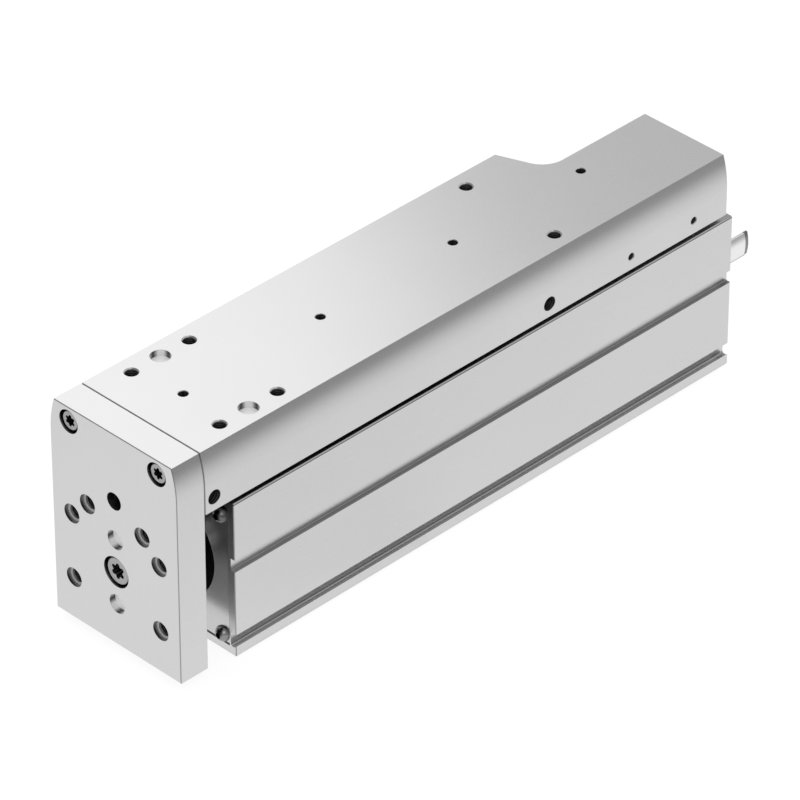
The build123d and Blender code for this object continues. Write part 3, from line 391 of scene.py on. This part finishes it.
def lining(name, rings, holes, material, body, ripple=0.0, pitch=1.0):
    """Linings of equal holes as one object, in mm. Ring k of a hole lies rings[k][1] below its mouth, and its
    point at turn a is rings[k][0] + ripple * cos(2 pi rings[k][1] / pitch - a) from the hole's axis."""
    radii, depths = np.array(rings, dtype=float).T
    a = np.linspace(0, 2 * math.pi, TURNS, endpoint=False)
    radius = radii[:, None] + ripple * np.cos(2 * math.pi * depths[:, None] / pitch - a)
    path = np.concatenate([[0], np.cumsum(np.hypot(np.diff(radii), np.diff(depths)))])
    k, i = np.meshgrid(np.arange(len(rings) - 1), np.arange(TURNS), indexing="ij")
    j = (i + 1) % TURNS
    upper, lower = k * TURNS, (k + 1) * TURNS
    quads = np.stack([upper + i, lower + i, lower + j, upper + j], -1).reshape(-1, 4)
    points, faces = [], []
    for mouth, out in holes:
        side = np.array((0, 0, 1) if out[2] == 0 else (1, 0, 0), dtype=float)
        other = np.cross(out, side)
        spoke = np.cos(a)[:, None] * side + np.sin(a)[:, None] * other
        ring = mouth - depths[:, None, None] * out + radius[:, :, None] * spoke
        faces.append(quads + sum(len(p) for p in points))
        points.append(ring.reshape(-1, 3) * MM)
    faces = np.concatenate(faces)
    mesh = bpy.data.meshes.new(name)
    mesh.from_pydata(np.concatenate(points).tolist(), [], faces.tolist())
    uv = np.stack([np.tile(a, len(rings)) / (2 * math.pi), np.repeat(path, TURNS)], 1)
    uv = np.tile(uv, (len(holes), 1))[faces.ravel()]
    mesh.uv_layers.new(name="UVMap").data.foreach_set("uv", uv.ravel())
    mesh.polygons.foreach_set("use_smooth", np.ones(len(mesh.polygons), dtype=bool))
    mesh.materials.append(material)
    piece = bpy.data.objects.new(name, mesh)
    bpy.context.scene.collection.objects.link(piece)
    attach(piece, body)


# Centring recesses of the slide's top, the yoke plate and the base
FLOOR_RINGS = (2.6, 1.3)
pin = MOUNTS["top_centring_right"]["dims"]
pin_radius, pin_depth = pin["r_mm"] - LINING_GAP, pin["length_mm"] - LINING_GAP
pin_floor = flat_rings((pin_radius, *FLOOR_RINGS, CENTRE), pin_depth)
slide_pins = (seats("slide", "top_centring_left", "top_centring_right")
              + seats("yoke_plate", "plate_centring_lower", "plate_centring_upper"))
base_pins = seats("housing", "base_centring_rear", "base_centring_front")
lining("centring_walls", wall(pin_radius, pin_depth), slide_pins, reamed, "slide")
lining("centring_floors", pin_floor, slide_pins, faced, "slide")
lining("base_centring_walls", wall(pin_radius, pin_depth), base_pins, reamed, "housing")
lining("base_centring_floors", pin_floor, base_pins, faced, "housing")

# Counterbores round the plate's threads; their floors end at the entry bevel
COUNTERBORE_RADIUS, COUNTERBORE_DEPTH = 3.5, 1.6
SEAT_RING, BEVEL_MOUTH = 3.0, 2.56
bore_radius, bore_depth = COUNTERBORE_RADIUS - LINING_GAP, COUNTERBORE_DEPTH - LINING_GAP
plate_holes = seats("yoke_plate", "plate_pair_threads", "plate_square_threads")
lining("counterbore_walls", wall(bore_radius, bore_depth), plate_holes, bored, "slide")
lining("counterbore_floors", flat_rings((bore_radius, SEAT_RING, BEVEL_MOUTH), bore_depth), plate_holes,
       spot_faced, "slide")

# Threads, each with its pitch and the height of the ridge that shows. Start is where a lining begins below the
# mouth, past the CAD hole's own bevel, length how far down it goes, and bevel the width of its own bevel.
Thread = namedtuple("Thread", "pitch ridge")
M5, M6, M3 = Thread(0.8, 0.06), Thread(1.0, 0.07), Thread(0.5, 0.04)
TAPPED = [
    dict(name="plate_threads", body="slide", on="yoke_plate",
         mounts=("plate_pair_threads", "plate_square_threads"),
         thread=M5, start=COUNTERBORE_DEPTH, length=7.0, bevel=0.4),
    dict(name="top_threads", body="slide", on="slide", mounts=("top_front_threads", "top_rear_threads"),
         thread=M5, start=0.42, length=9.0, bevel=0.0),
    dict(name="base_threads", body="housing", on="housing",
         mounts=("base_outer_threads", "base_inner_threads"),
         thread=M5, start=ENTRY, length=9.0, bevel=0.0),
    dict(name="side_threads", body="slide", on="slide", mounts=("side_threads",),
         thread=M6, start=0.12, length=7.0, bevel=0.0),
    dict(name="sensor_threads", body="slide", on="slide", mounts=("sensor_lug_threads",),
         thread=M3, start=0.27, length=5.6, bevel=0.0),
]
for hole in TAPPED:
    pitch, ridge = hole["thread"]
    core = MOUNTS[hole["mounts"][0]]["dims"]["hole_r_mm"] - LINING_GAP - ridge
    lining(hole["name"], thread_rings(core, hole["start"], hole["length"], hole["bevel"], pitch),
           seats(hole["on"], *hole["mounts"]), tapped, hole["body"], ridge, pitch)


# Floor, in metres. The camera sees it white with the object's shadow. Mirror rays see it glow, less and less
# from MIRROR_NEAR to MIRROR_FAR aside of the object, which gives the curved shoulders their dark upper band.
# It lies half a millimetre below the base, so the two faces never coincide.
FLOOR_HALF = 2.0
FLOOR_Z = -0.0005
MIRROR_NEAR, MIRROR_FAR = 0.08, 0.42
MIRROR_BRIGHT, MIRROR_DIM = 0.97, 0.12
CAMERA_GLOW = 1.15
GLOW_FOR_CAMERA, GLOW_FOR_MIRROR = 0.8, 0.95


def floor_material():
    """White matt floor, with a share of glow that depends on the kind of ray."""
    material, tree, out = blank("studio_floor")
    path = node(tree, "ShaderNodeLightPath")
    camera_ray, mirror_ray = path.outputs["Is Camera Ray"], path.outputs["Is Glossy Ray"]
    place = node(tree, "ShaderNodeTexCoord")
    split = node(tree, "ShaderNodeSeparateXYZ", {0: place.outputs["Object"]})
    aside = node(tree, "ShaderNodeMath", {0: split.outputs["Y"]}, operation="ABSOLUTE").outputs[0]
    mirrored = ramp(tree, aside, MIRROR_NEAR, MIRROR_FAR, MIRROR_BRIGHT, MIRROR_DIM, "SMOOTHSTEP")
    power = node(tree, "ShaderNodeMapRange", {"Value": camera_ray, "To Min": mirrored}, To_Max=CAMERA_GLOW)
    share = node(tree, "ShaderNodeMath", {0: mirror_ray, 2: scaled(tree, camera_ray, GLOW_FOR_CAMERA)},
                 operation="MULTIPLY_ADD")
    share.inputs[1].default_value = GLOW_FOR_MIRROR
    matt = node(tree, "ShaderNodeBsdfDiffuse", Color=linear("#E6E6E6"))
    glow = node(tree, "ShaderNodeEmission", {"Strength": power.outputs["Result"]}, Color=WHITE)
    mix = node(tree, "ShaderNodeMixShader", {0: share.outputs[0], 1: matt.outputs[0], 2: glow.outputs[0]})
    tree.links.new(mix.outputs[0], out.inputs["Surface"])
    return material


corners = [(x * FLOOR_HALF, y * FLOOR_HALF, FLOOR_Z) for x, y in ((-1, -1), (1, -1), (1, 1), (-1, 1))]
floor_mesh = bpy.data.meshes.new("floor")
floor_mesh.from_pydata(corners, [], [(0, 1, 2, 3)])
floor_mesh.materials.append(floor_material())
floor = bpy.data.objects.new("floor", floor_mesh)
bpy.context.scene.collection.objects.link(floor)

# World: white for the camera, dimmer as a light from all sides
WORLD_LIGHT = 0.61
world = bpy.data.worlds.new("studio")
bpy.context.scene.world = world
world.use_nodes = True
tree = world.node_tree
tree.nodes.clear()
path = node(tree, "ShaderNodeLightPath")
dim = node(tree, "ShaderNodeBackground", Color=WHITE, Strength=WORLD_LIGHT)
white = node(tree, "ShaderNodeBackground", Color=WHITE, Strength=1.0)
mix = node(tree, "ShaderNodeMixShader",
           {0: path.outputs["Is Camera Ray"], 1: dim.outputs[0], 2: white.outputs[0]})
tree.links.new(mix.outputs[0], node(tree, "ShaderNodeOutputWorld").inputs["Surface"])


# Lamps
def softbox(name, width, height, radiance, place, aim):
    """Area lamp that shines against its own Z axis; Cycles gives it a radiance of watts / (pi area)."""
    lamp = bpy.data.lights.new(name, "AREA")
    lamp.shape = "RECTANGLE"
    lamp.size, lamp.size_y = width, height
    lamp.energy = radiance * math.pi * width * height
    obj = bpy.data.objects.new(name, lamp)
    bpy.context.scene.collection.objects.link(obj)
    obj.matrix_world = Matrix.Translation(place) @ aim.to_4x4()


# The main softbox hangs where the slide's top mirrors it. Its near edge crosses the middle of that mirror
# image, so the top fades evenly from the yoke plate to the rear.
MIRROR_LINE = Vector((-0.579, -0.577, 0.576))
ALONG = Vector((0.8155, -0.4096, 0.409))
TOP_DISTANCE = 0.6
TOP_WIDTH, TOP_HEIGHT = 0.7, 0.9
TOP_RADIANCE = 0.68
top_middle = Vector((0.0, 0.0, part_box("slide")[1].z))
softbox("softbox_top", TOP_WIDTH, TOP_HEIGHT, TOP_RADIANCE,
        top_middle + MIRROR_LINE * TOP_DISTANCE + ALONG * TOP_WIDTH / 2,
        Matrix((ALONG, ALONG.cross(MIRROR_LINE), MIRROR_LINE)).transposed())

# A second one stands behind the camera, faces the object and lifts the faces that the camera sees
BEHIND_AZIMUTH, BEHIND_ELEVATION = math.radians(45.0), math.radians(35.0)
BEHIND_DISTANCE = 2.6
BEHIND_SIZE = 1.3
BEHIND_RADIANCE = 0.9
way = Vector((math.cos(BEHIND_ELEVATION) * math.cos(BEHIND_AZIMUTH),
              math.cos(BEHIND_ELEVATION) * math.sin(BEHIND_AZIMUTH), math.sin(BEHIND_ELEVATION)))
softbox("softbox_camera", BEHIND_SIZE, BEHIND_SIZE, BEHIND_RADIANCE, way * BEHIND_DISTANCE,
        (-way).to_track_quat("-Z", "Y").to_matrix())

bpy.context.scene.view_settings.view_transform = "Standard"
